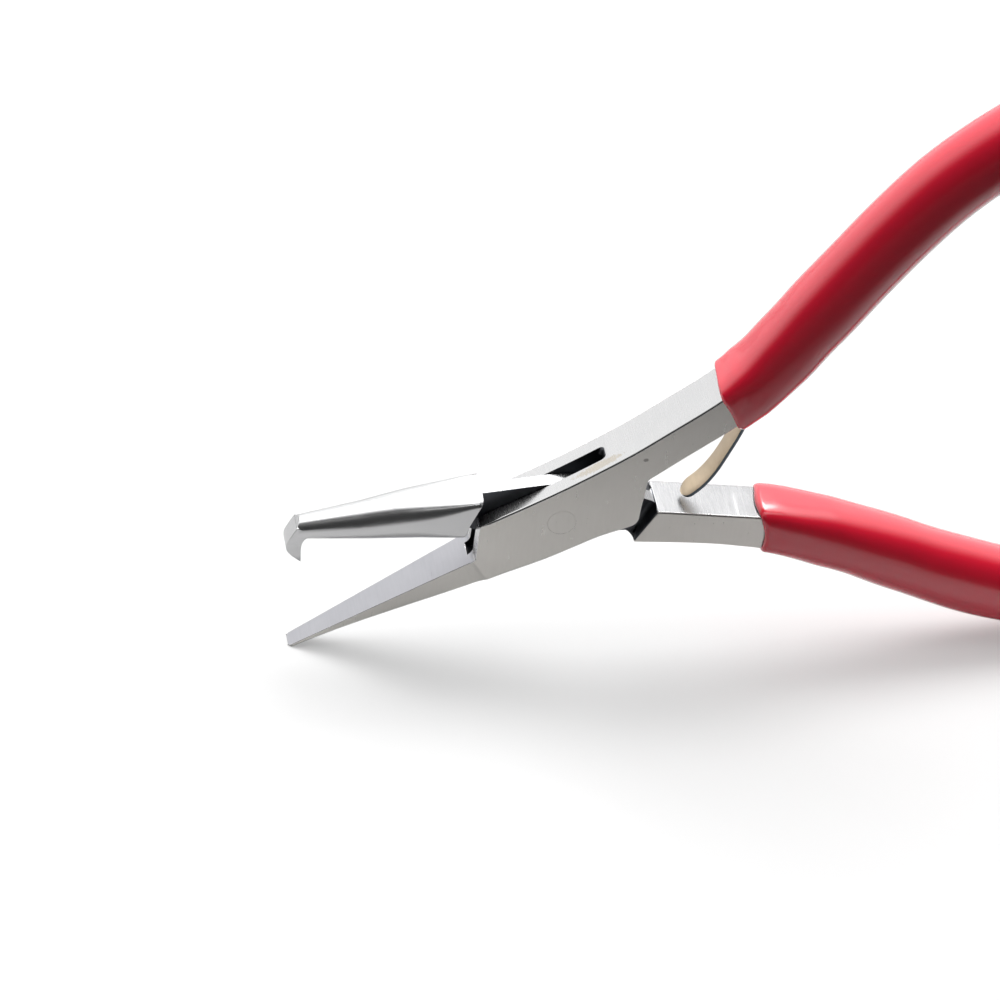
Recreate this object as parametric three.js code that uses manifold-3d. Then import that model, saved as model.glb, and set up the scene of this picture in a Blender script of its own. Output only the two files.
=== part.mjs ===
// Box-joint pliers with a hooked round upper jaw and a flat lower jaw, dipped
// grips and a single leaf spring. Millimetres, +Z up.
//
// The pliers stand open on the tip of the lower jaw and on the belly of the
// lower grip. X runs from the jaws to the handles, Y is the direction of the
// joint rivet, and the side profiles lie in the XZ plane.
//
// One half carries the flat jaw, the box with its two cheeks and the upper
// handle. The other half carries the hooked jaw, the tongue that passes
// through the box, and the lower handle.
import * as THREE from "three";
import { mergeVertices } from "three/addons/utils/BufferGeometryUtils.js";
import Module from "manifold-3d";

const wasm = await Module();
wasm.setup();

// ---- driving dimensions -------------------------------------------------
const HALF_T = 3.6; // half thickness of the joint and of the bare arms
const SLOT_HALF = 1.3; // half width of the slot between the cheeks
const TONGUE_HALF = 1.15; // half thickness of the tongue
const PIVOT = [0.4, -0.65]; // rivet centre in the profile plane
const RIVET_R = 2.0;
const CHEEK_BORE_R = 2.1;
const TONGUE_BORE_R = 2.25;
const FACE_ANGLE = (34.9 * Math.PI) / 180; // slope of the flat jaw's gripping face
const FLAT_JAW_LENGTH = 43.0; // pivot to tip along the gripping face
const FLAT_JAW_TIP_HALF = 1.35; // half width at the tip
const FLAT_JAW_ROOT_HALF = 3.15; // half width 15 mm from the pivot
const ROUND_JAW_TIP_R = 1.66;
const ROUND_JAW_SLOPE = 0.11; // growth of radius per mm towards the joint
const ARM_HALF = 2.65; // half height of the bare arms
const GRIP_HALF_W = 4.8; // half width of the grips across the profile plane
const LEAF_HALF_W = 1.8;
const LEAF_T = 0.5;
const LEAF_BEND = [24.5, 15.9]; // where the leaf leaves its foot and starts to flex
const FIT = 0.3; // clearance between a piece and what it rests on
// The profiles are drawn with the joint near the origin, then set down on the
// ground plane by this turn and shift.
const STAND_TURN = (0.915 * Math.PI) / 180;
const STAND_X = -31.956;
const STAND_Z = 24.161;

// ---- materials ----------------------------------------------------------
const steel = new THREE.MeshStandardMaterial({ color: 0xa9a6a2, roughness: 0.32, metalness: 1 });
const polished = new THREE.MeshStandardMaterial({ color: 0xc9c9cb, roughness: 0.12, metalness: 1 });
const springSteel = new THREE.MeshStandardMaterial({ color: 0xcdb99b, roughness: 0.35, metalness: 1 });
const dippedVinyl = new THREE.MeshStandardMaterial({ color: 0xb0122a, roughness: 0.18, metalness: 0 });

// ---- helpers ------------------------------------------------------------
// Joins the coincident vertices of a fresh geometry and drops the triangles
// that this leaves without area, so that the surface is closed before it is
// turned or moved.
const weld = (geometry) => {
  geometry.deleteAttribute("normal");
  geometry.deleteAttribute("uv");
  const m = mergeVertices(geometry, 1e-4);
  const index = [];
  for (let i = 0; i < m.index.count; i += 3) {
    const [a, b, c] = [m.index.getX(i), m.index.getX(i + 1), m.index.getX(i + 2)];
    if (a !== b && b !== c && c !== a) index.push(a, b, c);
  }
  m.setIndex(index);
  return m;
};

const solid = (g) =>
  new wasm.Manifold(
    new wasm.Mesh({
      numProp: 3,
      vertProperties: new Float32Array(g.attributes.position.array),
      triVerts: new Uint32Array(g.index.array),
    }),
  );

const geometryOf = (manifold) => {
  const m = manifold.getMesh();
  const g = new THREE.BufferGeometry();
  const p = new Float32Array(m.numVert * 3);
  for (let i = 0; i < m.numVert; i++)
    for (let k = 0; k < 3; k++) p[3 * i + k] = m.vertProperties[i * m.numProp + k];
  g.setAttribute("position", new THREE.BufferAttribute(p, 3));
  g.setIndex(new THREE.BufferAttribute(new Uint32Array(m.triVerts), 1));
  g.computeVertexNormals();
  return g;
};

const shapeOf = (points) => {
  const pts = points.map(([x, z]) => new THREE.Vector2(x, z));
  if (THREE.ShapeUtils.area(pts) < 0) pts.reverse();
  return new THREE.Shape(pts);
};

// A side profile in XZ, extruded between y = -half and y = +half, with an
// optional chamfer or round along both rims that stays inside the profile.
const prism = (points, half, rim = 0, segments = 1) => {
  const g = weld(
    new THREE.ExtrudeGeometry(shapeOf(points), {
      depth: 2 * (half - rim),
      steps: 1,
      bevelEnabled: rim > 0,
      bevelThickness: rim,
      bevelSize: rim,
      bevelOffset: -rim,
      bevelSegments: segments,
    }),
  );
  g.translate(0, 0, -(half - rim));
  g.rotateX(Math.PI / 2);
  return g;
};

const cylinderY = (radius, half, [x, z], sides = 40) => {
  const g = weld(new THREE.CylinderGeometry(radius, radius, 2 * half, sides));
  g.translate(x, 0, z);
  return g;
};

// Points along a smooth line through the given ones.
const smooth = (points, count) =>
  new THREE.SplineCurve(points.map(([x, z]) => new THREE.Vector2(x, z))).getSpacedPoints(count).map((v) => [v.x, v.y]);

// Closed outline of a bar that follows a centre line, half(t) high on each side.
const barOutline = (centre, half, round = 0) => {
  const n = centre.length;
  const up = [];
  const down = [];
  for (let i = 0; i < n; i++) {
    const a = centre[Math.max(0, i - 1)];
    const b = centre[Math.min(n - 1, i + 1)];
    const l = Math.hypot(b[0] - a[0], b[1] - a[1]);
    const nx = -(b[1] - a[1]) / l;
    const nz = (b[0] - a[0]) / l;
    const h = half(i / (n - 1));
    up.push([centre[i][0] + nx * h, centre[i][1] + nz * h]);
    down.push([centre[i][0] - nx * h, centre[i][1] - nz * h]);
  }
  const end = [];
  if (round > 0) {
    const a = centre[n - 2];
    const b = centre[n - 1];
    const l = Math.hypot(b[0] - a[0], b[1] - a[1]);
    const d = [(b[0] - a[0]) / l, (b[1] - a[1]) / l];
    const h = half(1);
    for (let k = 1; k < 6; k++) {
      const t = Math.PI / 2 - (k * Math.PI) / 6;
      end.push([
        b[0] + d[0] * round * Math.cos(t) - d[1] * h * Math.sin(t),
        b[1] + d[1] * round * Math.cos(t) + d[0] * h * Math.sin(t),
      ]);
    }
  }
  return [...up, ...end, ...down.reverse()];
};

const ramp = (t, stops) => {
  for (let i = 1; i < stops.length; i++)
    if (t <= stops[i][0]) {
      const [t0, v0] = stops[i - 1];
      const [t1, v1] = stops[i];
      const s = (t - t0) / (t1 - t0);
      return v0 + (v1 - v0) * s * s * (3 - 2 * s);
    }
  return stops[stops.length - 1][1];
};

// ---- centre lines of the two handles ------------------------------------
const UPPER_LINE = [
  [14.0, 12.2], [21.3, 18.2], [26.3, 23.8], [31.6, 32.2], [36.6, 40.2], [41.4, 47.6],
  [46.6, 54.5], [52.8, 60.6], [60.2, 66.4], [68.0, 71.4],
];
const LOWER_LINE = [
  [14.6, -1.55], [21.0, -1.95], [28.2, -2.45], [32.2, -3.0], [37.9, -4.6], [43.9, -6.5], [50.2, -8.9],
  [56.6, -11.2], [63.9, -13.5], [71.3, -15.4], [79.9, -16.9], [89.3, -17.6], [97.5, -17.3],
];
const upperCentre = smooth(UPPER_LINE, 44);
const lowerCentre = smooth(LOWER_LINE, 44);
const after = (centre, from) => centre.slice(Math.round(from * (centre.length - 1)));

// share of the centre line, counted from the bare arm, where the grip starts
const UPPER_DIP = 0.11;
const LOWER_DIP = 0.168;

const tangHalf = (t) => ramp(t, [[0, ARM_HALF], [0.15, ARM_HALF], [0.3, 3.3], [0.5, 3.7], [0.85, 3.6], [1, 3.0]]);
const gripHalf = (t) => ramp(t, [[0, 3.75], [0.07, 4.9], [0.3, 5.15], [0.75, 5.3], [0.93, 5.1], [1, 4.3]]);

// ---- box half -----------------------------------------------------------
const face = (s, drop = 0) => [
  -s * Math.cos(FACE_ANGLE) + drop * Math.sin(FACE_ANGLE),
  -s * Math.sin(FACE_ANGLE) - drop * Math.cos(FACE_ANGLE),
];
const boxProfile = [
  // gripping face from the tip to the root, then up the left end of the cheeks
  face(FLAT_JAW_LENGTH), face(14.2), face(13.75, -0.12), [-11.05, -7.2], [-10.95, -5.7], [-11.05, -2.35], [-10.45, -1.15],
  // top of the box and of the bare arm
  [-3.19, 3.11], [0.78, 5.67], [4.73, 8.31], [6.7, 9.64], [9.51, 11.85], [12.17, 14.19], [19.43, 20.17],
  // back along the underside of the arm
  [22.8, 16.1], [21.03, 14.66], [16.47, 10.9], [12.14, 7.19],
  // right end of the cheeks
  [11.55, 6.1], [11.4, 5.0], [11.45, 4.0], [11.33, 2.0], [11.3, 0.2], [10.8, -0.75], [9.77, -1.53],
  [7.63, -2.49], [6.13, -3.08], [3.82, -4.5], [-1.02, -7.2],
  // underside of the box and of the flat jaw
  face(11.63, 4.18), face(16.6, 3.5), face(19.03, 3.25), face(26.33, 2.12), face(31.5, 1.4), face(35.4, 0.9),
  face(39.3, 0.62), face(42.6, 0.42),
];
// plan of the flat jaw, seen square to its gripping face: [distance from pivot, half width]
const jawPlan = [
  [FLAT_JAW_LENGTH + 1, FLAT_JAW_TIP_HALF - 0.35], [FLAT_JAW_LENGTH - 0.6, FLAT_JAW_TIP_HALF],
  [15.2, FLAT_JAW_ROOT_HALF], [13.4, HALF_T], [-45, HALF_T],
];
const planShape = new THREE.Shape([
  ...jawPlan.map(([s, w]) => new THREE.Vector2(-s, w)),
  ...[...jawPlan].reverse().map(([s, w]) => new THREE.Vector2(-s, -w)),
].reverse());
const planPrism = weld(new THREE.ExtrudeGeometry(planShape, { depth: 120, bevelEnabled: false }));
planPrism.translate(0, 0, -60);
planPrism.rotateY(-FACE_ANGLE);
const slotProfile = [
  face(14.6, -0.2), face(14.6, 0.55), [-5.1, -9.8], [-4.4, -13], [18, -13], [18, 4], [12.6, 7.1],
  [5.9, 8.7], [5.8, 9.6], [5.7, 15], [-18, 15], [-18, -5.5],
];
const boxHalf = solid(prism(boxProfile, HALF_T, 0.25))
  .intersect(solid(planPrism))
  .add(solid(prism(barOutline(after(upperCentre, 0.06), (t) => tangHalf(0.06 + 0.94 * t), 2), HALF_T, 0.25)))
  .subtract(solid(prism(slotProfile, SLOT_HALF)))
  .subtract(solid(cylinderY(CHEEK_BORE_R, 12, PIVOT)));

// ---- tongue half --------------------------------------------------------
// hooked round jaw: a cone that grows towards the joint
const JAW_TIP = [-35.6, -4.15];
const JAW_DIRECTION = Math.atan2(0.157, 1);
const coneLength = 22.6;
const coneProfile = [
  [0, 0], [ROUND_JAW_TIP_R - 0.35, 0], [ROUND_JAW_TIP_R, 0.45],
  [ROUND_JAW_TIP_R + ROUND_JAW_SLOPE * 20, 20], [ROUND_JAW_TIP_R + ROUND_JAW_SLOPE * 20, coneLength], [0, coneLength],
].map(([r, y]) => new THREE.Vector2(r, y));
const cone = weld(new THREE.LatheGeometry(coneProfile, 32));
cone.rotateZ(-Math.PI / 2); // axis along +X
cone.rotateY(-JAW_DIRECTION);
cone.translate(JAW_TIP[0], 0, JAW_TIP[1]);
// side profile that trims the cone, and the squared root at the shoulder
const jawTrim = [
  [-38, -6.5], [-22, -5.6], [-19, -5.05], [-16, -4.45], [-12.85, -3.35], [-12.4, -1.3], [-10.9, 2.75], [-16, 2.75], [-22, 1.6], [-38, 0],
];
const jawRoot = [[-15.2, -4.1], [-12.85, -3.35], [-12.4, -1.3], [-10.9, 2.75], [-15.2, 2.3]];
const hook = [
  [-33.2, -3.4], [-33.4, -5.2], [-34.3, -6.1], [-34.75, -6.9], [-34.85, -8.2], [-34.65, -9.7], [-34.9, -10.15],
  [-36.2, -8.85], [-37.15, -7.5], [-37.4, -6.3], [-37.1, -5.2], [-36.2, -3.2], [-35.4, -2.5], [-34.4, -2.6],
];
const tongue = [
  [-14.0, -2.9], [-12.4, -3.4], [-9.0, -4.6], [-4.0, -5.35], [1.0, -5.3], [6.0, -4.65], [13.0, -4.2],
  [15.5, -3.4], [15.5, 0.6], [12.6, 1.75], [8.0, 3.2], [4.5, 4.1], [2.0, 4.4], [-1.2, 4.2], [-10.2, 2.7], [-14.0, 2.1],
];
const armStart = [
  [13.76, 1.2], [13.3, 1.05], [10.95, -3.95], [11.1, -4.2], [18.76, -4.35], [23.0, -4.65], [23.0, 0.5],
];
const tongueHalf = solid(cone)
  .intersect(solid(prism(jawTrim, HALF_T)))
  .add(solid(prism(hook, 1.5)))
  .add(solid(prism(jawRoot, HALF_T, 0.7, 2)))
  .add(solid(prism(tongue, TONGUE_HALF)))
  .add(solid(prism(armStart, HALF_T, 0.25)))
  .add(solid(prism(barOutline(after(lowerCentre, 0.04), (t) => tangHalf(0.04 + 0.96 * t), 2), HALF_T, 0.25)))
  .subtract(solid(cylinderY(TONGUE_BORE_R, 6, PIVOT)));

// ---- joint rivet --------------------------------------------------------
const rivet = solid(cylinderY(RIVET_R, HALF_T - 0.02, PIVOT));

// ---- leaf spring: foot under the grip, blade free to flex ----------------
// Foot: follows the underside of the upper tang.
const footCentre = after(upperCentre, UPPER_DIP).slice(2, 9);
const footT = (i) => UPPER_DIP + ((i + 2) / 44);
const offsetLine = (line, distance) =>
  line.map((p, i) => {
    const a = line[Math.max(0, i - 1)];
    const b = line[Math.min(line.length - 1, i + 1)];
    const l = Math.hypot(b[0] - a[0], b[1] - a[1]);
    const d = distance(i);
    return [p[0] + ((b[1] - a[1]) / l) * d, p[1] - ((b[0] - a[0]) / l) * d];
  });
const footLine = offsetLine(footCentre, (i) => tangHalf(footT(i)) + FIT + LEAF_T / 2);
const foot = solid(prism(barOutline(footLine, () => LEAF_T / 2), LEAF_HALF_W));
// The rivet that holds the foot to the tang stands square to it.
const RIVET2_AT = footLine[4];
const footDir = Math.atan2(footLine[5][1] - footLine[3][1], footLine[5][0] - footLine[3][0]);
const springRivetProfile = [
  [0, -1.0], [1.15, -1.0], [1.15, -0.7], [0.75, -0.25], [0.75, 2.2], [0, 2.2],
].map(([r, y]) => new THREE.Vector2(r, y));
const springRivetGeometry = weld(new THREE.LatheGeometry(springRivetProfile, 24));
springRivetGeometry.rotateX(Math.PI / 2); // axis along +Z, head down
springRivetGeometry.rotateY(-footDir);
springRivetGeometry.translate(RIVET2_AT[0], 0, RIVET2_AT[1]);
const boreProfile = (r, y0, y1) => {
  const g = weld(new THREE.CylinderGeometry(r, r, y1 - y0, 24));
  g.translate(0, (y0 + y1) / 2, 0);
  g.rotateX(Math.PI / 2);
  g.rotateY(-footDir);
  g.translate(RIVET2_AT[0], 0, RIVET2_AT[1]);
  return g;
};
const tangBore = solid(boreProfile(0.95, 0.1, 2.5));
const footBore = solid(boreProfile(0.95, -2, 2));
const headSink = solid(boreProfile(1.4, -2, -0.15));

// Blade: from the bend, down to a rounded toe on the lower arm.
const bladeLine = smooth([LEAF_BEND, [24.2, 14.0], [22.9, 10.2], [21.6, 6.9], [20.2, 4.5], [18.5, 2.6], [17.75, 1.75]], 22);
const bladeSide = solid(prism(barOutline(bladeLine, () => LEAF_T / 2), LEAF_HALF_W));
// plan of the toe: rounded end, cut in the direction of the blade's chord
const toeDir = Math.atan2(LEAF_BEND[1] - 1.75, LEAF_BEND[0] - 17.75);
const toePlan = new THREE.Shape();
toePlan.moveTo(20, -LEAF_HALF_W - 0.2);
toePlan.lineTo(LEAF_HALF_W - 0.35, -LEAF_HALF_W);
toePlan.absarc(LEAF_HALF_W - 0.35, 0, LEAF_HALF_W, -Math.PI / 2, -1.5 * Math.PI, true);
toePlan.lineTo(20, LEAF_HALF_W + 0.2);
toePlan.closePath();
const toePrism = weld(new THREE.ExtrudeGeometry(toePlan, { depth: 24, bevelEnabled: false, curveSegments: 14 }));
toePrism.translate(0, 0, -12);
toePrism.rotateY(-toeDir);
toePrism.translate(17.6, 0, 1.5);
const blade = bladeSide.intersect(solid(toePrism));

// ---- dipped grips -------------------------------------------------------
const gripOn = (centre, dip) => {
  const line = after(centre, dip);
  const outer = solid(prism(barOutline(line, gripHalf, 4.2), GRIP_HALF_W, 2.2, 3));
  const cavity = solid(
    prism(barOutline([[2 * line[0][0] - line[1][0], 2 * line[0][1] - line[1][1]], ...line], (t) => tangHalf(dip + t * (1 - dip)) + FIT, 2.4), HALF_T + FIT),
  );
  return outer.subtract(cavity);
};
// Room for the spring's foot, its rivet head and the root of the blade.
const springRoom = solid(
  prism(
    [...offsetLine(footCentre, () => 2.2), ...offsetLine(footCentre, (i) => tangHalf(footT(i)) + FIT + LEAF_T + 0.3).reverse()],
    LEAF_HALF_W + 0.3,
  ),
);
const bladeRoom = solid(prism([[27.2, 19.5], [28.0, 18.2], [26.2, 12.0], [21.0, 10.5], [21.0, 14.2], [23.2, 17.2]], LEAF_HALF_W + 0.3));
const headRoom = solid(boreProfile(1.5, -1.3, 0));
const upperGrip = gripOn(upperCentre, UPPER_DIP).subtract(springRoom).subtract(bladeRoom).subtract(headRoom);
const lowerGrip = gripOn(lowerCentre, LOWER_DIP);

// ---- assembly -----------------------------------------------------------
const pliers = new THREE.Group();
pliers.rotation.y = STAND_TURN;
pliers.position.set(STAND_X, 0, STAND_Z);

const boxGroup = new THREE.Group();
const tongueGroup = new THREE.Group();
pliers.add(boxGroup, tongueGroup);

const add = (group, name, manifold, material) => {
  const mesh = new THREE.Mesh(geometryOf(manifold), material);
  mesh.name = name;
  group.add(mesh);
};

add(boxGroup, "box_half", boxHalf.subtract(tangBore), steel);
add(boxGroup, "joint_rivet", rivet, steel);
add(boxGroup, "spring_foot", foot.subtract(footBore).subtract(headSink), springSteel);
add(boxGroup, "spring_blade", blade, springSteel);
add(boxGroup, "spring_rivet", solid(springRivetGeometry), steel);
add(boxGroup, "upper_grip", upperGrip, dippedVinyl);
add(tongueGroup, "tongue_half", tongueHalf, polished);
add(tongueGroup, "lower_grip", lowerGrip, dippedVinyl);

export default pliers;
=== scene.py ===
"""Box-joint pliers with a hooked round upper jaw, a flat lower jaw, a leaf
spring and dipped grips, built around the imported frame. Lengths in the drawing
frame below are millimetres; place() sets them down in the row frame in metres.
"""
import math

import bmesh
import bpy
import numpy as np
from mathutils import Matrix, Vector


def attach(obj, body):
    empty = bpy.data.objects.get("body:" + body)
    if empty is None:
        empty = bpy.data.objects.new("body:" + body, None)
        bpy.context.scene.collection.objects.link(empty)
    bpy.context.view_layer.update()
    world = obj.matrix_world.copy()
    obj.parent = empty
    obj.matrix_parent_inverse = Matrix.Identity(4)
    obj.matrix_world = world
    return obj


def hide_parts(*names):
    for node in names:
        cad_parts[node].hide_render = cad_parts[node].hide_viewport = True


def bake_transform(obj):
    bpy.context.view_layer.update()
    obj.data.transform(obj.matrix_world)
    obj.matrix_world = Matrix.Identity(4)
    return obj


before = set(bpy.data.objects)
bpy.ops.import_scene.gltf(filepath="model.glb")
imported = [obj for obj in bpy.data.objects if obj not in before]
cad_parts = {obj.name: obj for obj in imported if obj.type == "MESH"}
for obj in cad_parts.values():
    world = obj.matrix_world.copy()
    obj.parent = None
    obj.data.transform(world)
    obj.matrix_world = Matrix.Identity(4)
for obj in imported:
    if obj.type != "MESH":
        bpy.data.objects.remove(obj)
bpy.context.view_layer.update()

# ---- drawing frame --------------------------------------------------------
TURN = math.radians(0.915)
CT, ST = math.cos(TURN), math.sin(TURN)
SHIFT_X, SHIFT_Z = -31.956, 24.161
HALF_T = 3.6
SLOT = 1.3
PLATE = 1.15
PIVOT = (0.4, -0.65)
FACE = math.radians(34.9)
LEAF_W, LEAF_T = 1.8, 0.5
COLLECTION = bpy.context.scene.collection


def place(x, y, z):
    return Vector(
        ((x * CT + z * ST + SHIFT_X) / 1000, y / 1000, (-x * ST + z * CT + SHIFT_Z) / 1000)
    )


def turned(v):
    """A direction of the drawing frame in the row frame."""
    return Vector((v[0] * CT + v[2] * ST, v[1], -v[0] * ST + v[2] * CT))


def face_point(s, drop=0.0):
    """A point s mm from the joint along the flat jaw's gripping face, drop mm under it."""
    return (
        -s * math.cos(FACE) + drop * math.sin(FACE),
        -s * math.sin(FACE) - drop * math.cos(FACE),
    )


# ---- curve helpers ----------------------------------------------------------
def catmull(points, per=16):
    """Centripetal Catmull-Rom through the points, of any dimension."""
    p = [np.array(q, float) for q in points]
    p = [2 * p[0] - p[1], *p, 2 * p[-1] - p[-2]]
    out = []
    for i in range(1, len(p) - 2):
        a, b, c, d = p[i - 1 : i + 3]
        t = [0.0]
        for u, v in ((a, b), (b, c), (c, d)):
            t.append(t[-1] + max(np.linalg.norm(v - u), 1e-6) ** 0.5)
        for k in range(per):
            s = t[1] + (t[2] - t[1]) * k / per
            a1 = (t[1] - s) / (t[1] - t[0]) * a + (s - t[0]) / (t[1] - t[0]) * b
            a2 = (t[2] - s) / (t[2] - t[1]) * b + (s - t[1]) / (t[2] - t[1]) * c
            a3 = (t[3] - s) / (t[3] - t[2]) * c + (s - t[2]) / (t[3] - t[2]) * d
            b1 = (t[2] - s) / (t[2] - t[0]) * a1 + (s - t[0]) / (t[2] - t[0]) * a2
            b2 = (t[3] - s) / (t[3] - t[1]) * a2 + (s - t[1]) / (t[3] - t[1]) * a3
            out.append((t[2] - s) / (t[2] - t[1]) * b1 + (s - t[1]) / (t[2] - t[1]) * b2)
    out.append(p[-2])
    return np.array(out)


class Path:
    """A line in the profile plane, read by its length."""

    def __init__(self, points, per=24, soften=0):
        q = catmull(points, per)
        for _ in range(soften):
            q[1:-1] = 0.25 * q[:-2] + 0.5 * q[1:-1] + 0.25 * q[2:]
        self.q = q
        d = np.linalg.norm(np.diff(q, axis=0), axis=1)
        self.s = np.concatenate([[0], np.cumsum(d)])
        self.length = float(self.s[-1])

    def at(self, s):
        if s > self.length:
            e = self.q[-1] - self.q[-2]
            return self.q[-1] + e / np.linalg.norm(e) * (s - self.length)
        return np.array([np.interp(s, self.s, self.q[:, k]) for k in range(self.q.shape[1])])

    def along(self, s):
        e = self.at(min(s, self.length) + 0.4) - self.at(max(min(s, self.length) - 0.4, 0))
        return e / np.linalg.norm(e)

    def across(self, s):
        """Unit vector square to the line, to its left."""
        e = self.along(s)
        return np.array([-e[1], e[0]])

    def points(self, step, a=0.0, b=None):
        b = self.length if b is None else b
        n = max(2, int(round((b - a) / step)) + 1)
        return [self.at(a + (b - a) * i / (n - 1)) for i in range(n)]


def eased(points, times=12):
    """The same open line with its small kinks worn off, its ends kept."""
    q = np.array(points, float)
    for _ in range(times):
        q[1:-1] = 0.25 * q[:-2] + 0.5 * q[1:-1] + 0.25 * q[2:]
    return [tuple(v) for v in q]


def ramp(t, stops):
    for (t0, v0), (t1, v1) in zip(stops, stops[1:]):
        if t <= t1:
            s = max(0.0, (t - t0) / (t1 - t0))
            return v0 + (v1 - v0) * s * s * (3 - 2 * s)
    return stops[-1][1]


def straight(t, stops):
    return float(np.interp(t, [a for a, _ in stops], [b for _, b in stops]))


# ---- mesh helpers -----------------------------------------------------------
def make(name, verts, faces):
    mesh = bpy.data.meshes.new(name)
    mesh.from_pydata([tuple(map(float, v)) for v in verts], [], faces)
    mesh.validate()
    obj = bpy.data.objects.new(name, mesh)
    COLLECTION.objects.link(obj)
    bm = bmesh.new()
    bm.from_mesh(mesh)
    bmesh.ops.recalc_face_normals(bm, faces=bm.faces)
    bm.to_mesh(mesh)
    bm.free()
    return obj


def prism(name, outline, y0, y1):
    """A side profile (x, z) as a solid from y0 to y1."""
    n = len(outline)
    verts = [(x, y0, z) for x, z in outline] + [(x, y1, z) for x, z in outline]
    faces = [list(range(n)), list(range(2 * n - 1, n - 1, -1))]
    faces += [[i, n + i, n + (i + 1) % n, (i + 1) % n] for i in range(n)]
    return make(name, verts, faces)


def loft(name, rings, closed=False):
    """Rings of points with equal counts, joined in order and capped at both ends."""
    n = len(rings[0])
    verts = [p for r in rings for p in r]
    faces = []
    for i in range(len(rings) - 1 + (1 if closed else 0)):
        a, b = i * n, ((i + 1) % len(rings)) * n
        faces += [[a + j, a + (j + 1) % n, b + (j + 1) % n, b + j] for j in range(n)]
    if not closed:
        faces += [list(range(n - 1, -1, -1)), list(range(len(verts) - n, len(verts)))]
    return make(name, verts, faces)


def boolean(a, b, operation):
    m = a.modifiers.new("b", "BOOLEAN")
    m.operation = operation
    m.solver = "EXACT"
    m.object = b
    dg = bpy.context.evaluated_depsgraph_get()
    new = bpy.data.meshes.new_from_object(a.evaluated_get(dg))
    a.modifiers.clear()
    old = a.data
    a.data = new
    bpy.data.meshes.remove(old)
    bpy.data.objects.remove(b)
    return a


def tidy(obj, angle=0.15):
    bm = bmesh.new()
    bm.from_mesh(obj.data)
    bmesh.ops.remove_doubles(bm, verts=bm.verts, dist=0.004)
    bmesh.ops.dissolve_limit(
        bm, angle_limit=math.radians(angle), use_dissolve_boundaries=False, verts=bm.verts, edges=bm.edges
    )
    bmesh.ops.dissolve_degenerate(bm, dist=0.004, edges=bm.edges)
    bmesh.ops.recalc_face_normals(bm, faces=bm.faces)
    bm.to_mesh(obj.data)
    bm.free()


def drill(obj, outline):
    """Cut a bore through a piece split on the bore's axis, so that no face closes on itself."""
    bm = bmesh.new()
    bm.from_mesh(obj.data)
    for x in (-15.0, -12.6, PIVOT[0], 9.0):
        geom = bm.verts[:] + bm.edges[:] + bm.faces[:]
        bmesh.ops.bisect_plane(bm, geom=geom, dist=1e-4, plane_co=(x, 0, 0), plane_no=(1, 0, 0))
    bm.to_mesh(obj.data)
    bm.free()
    boolean(obj, prism("cutter", outline, -6, 6), "DIFFERENCE")
    bm = bmesh.new()
    bm.from_mesh(obj.data)
    bmesh.ops.remove_doubles(bm, verts=bm.verts, dist=0.004)
    bmesh.ops.recalc_face_normals(bm, faces=bm.faces)
    bm.to_mesh(obj.data)
    bm.free()


def weigh(obj, rule, least=24):
    """Bevel weight on each edge sharper than least degrees: rule(mid point, dihedral sign, face normals) gives mm."""
    bm = bmesh.new()
    bm.from_mesh(obj.data)
    layer = bm.edges.layers.float.get("bevel_weight_edge") or bm.edges.layers.float.new("bevel_weight_edge")
    for e in bm.edges:
        w = 0.0
        if len(e.link_faces) == 2:
            angle = e.calc_face_angle(0)
            if angle > math.radians(least):
                mid = (e.verts[0].co + e.verts[1].co) / 2
                w = rule(mid, e.calc_face_angle_signed(0) > 0, [f.normal for f in e.link_faces])
        e[layer] = w
    bm.to_mesh(obj.data)
    bm.free()


def settle(obj, materials, pick, body, bevel=True, edge_slot=-1, segments=3):
    """Materials by face, then the drawing frame's mesh set down in metres and put on its body."""
    for m in materials:
        obj.data.materials.append(m)
    for p in obj.data.polygons:
        p.use_smooth = True
        p.material_index = pick(p.center, p.normal, max(abs(obj.data.vertices[i].co[1]) for i in p.vertices))
    for v in obj.data.vertices:
        v.co = place(*v.co)
    obj.data.update()
    if bevel:
        m = obj.modifiers.new("bevel", "BEVEL")
        m.width = 0.001
        m.segments = segments
        m.profile = 0.5
        m.limit_method = "WEIGHT"
        m.use_clamp_overlap = False
        m.material = edge_slot
        m.miter_outer = "MITER_SHARP"
        m.loop_slide = True
        n = obj.modifiers.new("normals", "WEIGHTED_NORMAL")
        n.mode = "FACE_AREA"
        n.weight = 50
        n.keep_sharp = True
    dg = bpy.context.evaluated_depsgraph_get()
    new = bpy.data.meshes.new_from_object(obj.evaluated_get(dg), preserve_all_data_layers=True, depsgraph=dg)
    obj.modifiers.clear()
    obj.data = new
    new.name = obj.name
    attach(obj, body)
    return obj


# ---- materials --------------------------------------------------------------
def material(name):
    m = bpy.data.materials.new(name)
    m.use_nodes = True
    nt = m.node_tree
    nt.nodes.clear()
    out = nt.nodes.new("ShaderNodeOutputMaterial")
    bsdf = nt.nodes.new("ShaderNodeBsdfPrincipled")
    nt.links.new(bsdf.outputs[0], out.inputs[0])
    return m, nt, bsdf


def noise(nt, scale, size=1.0, detail=3.0, roughness=0.55, seed=0.0):
    """Noise of the object's own coordinates; scale is per metre on each axis."""
    tc = nt.nodes.new("ShaderNodeTexCoord")
    mp = nt.nodes.new("ShaderNodeMapping")
    mp.inputs["Scale"].default_value = scale
    mp.inputs["Location"].default_value = (seed, seed * 1.7, seed * 0.6)
    nt.links.new(tc.outputs["Object"], mp.inputs["Vector"])
    n = nt.nodes.new("ShaderNodeTexNoise")
    n.inputs["Scale"].default_value = size
    n.inputs["Detail"].default_value = detail
    n.inputs["Roughness"].default_value = roughness
    nt.links.new(mp.outputs[0], n.inputs["Vector"])
    return n.outputs["Fac"]


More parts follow.
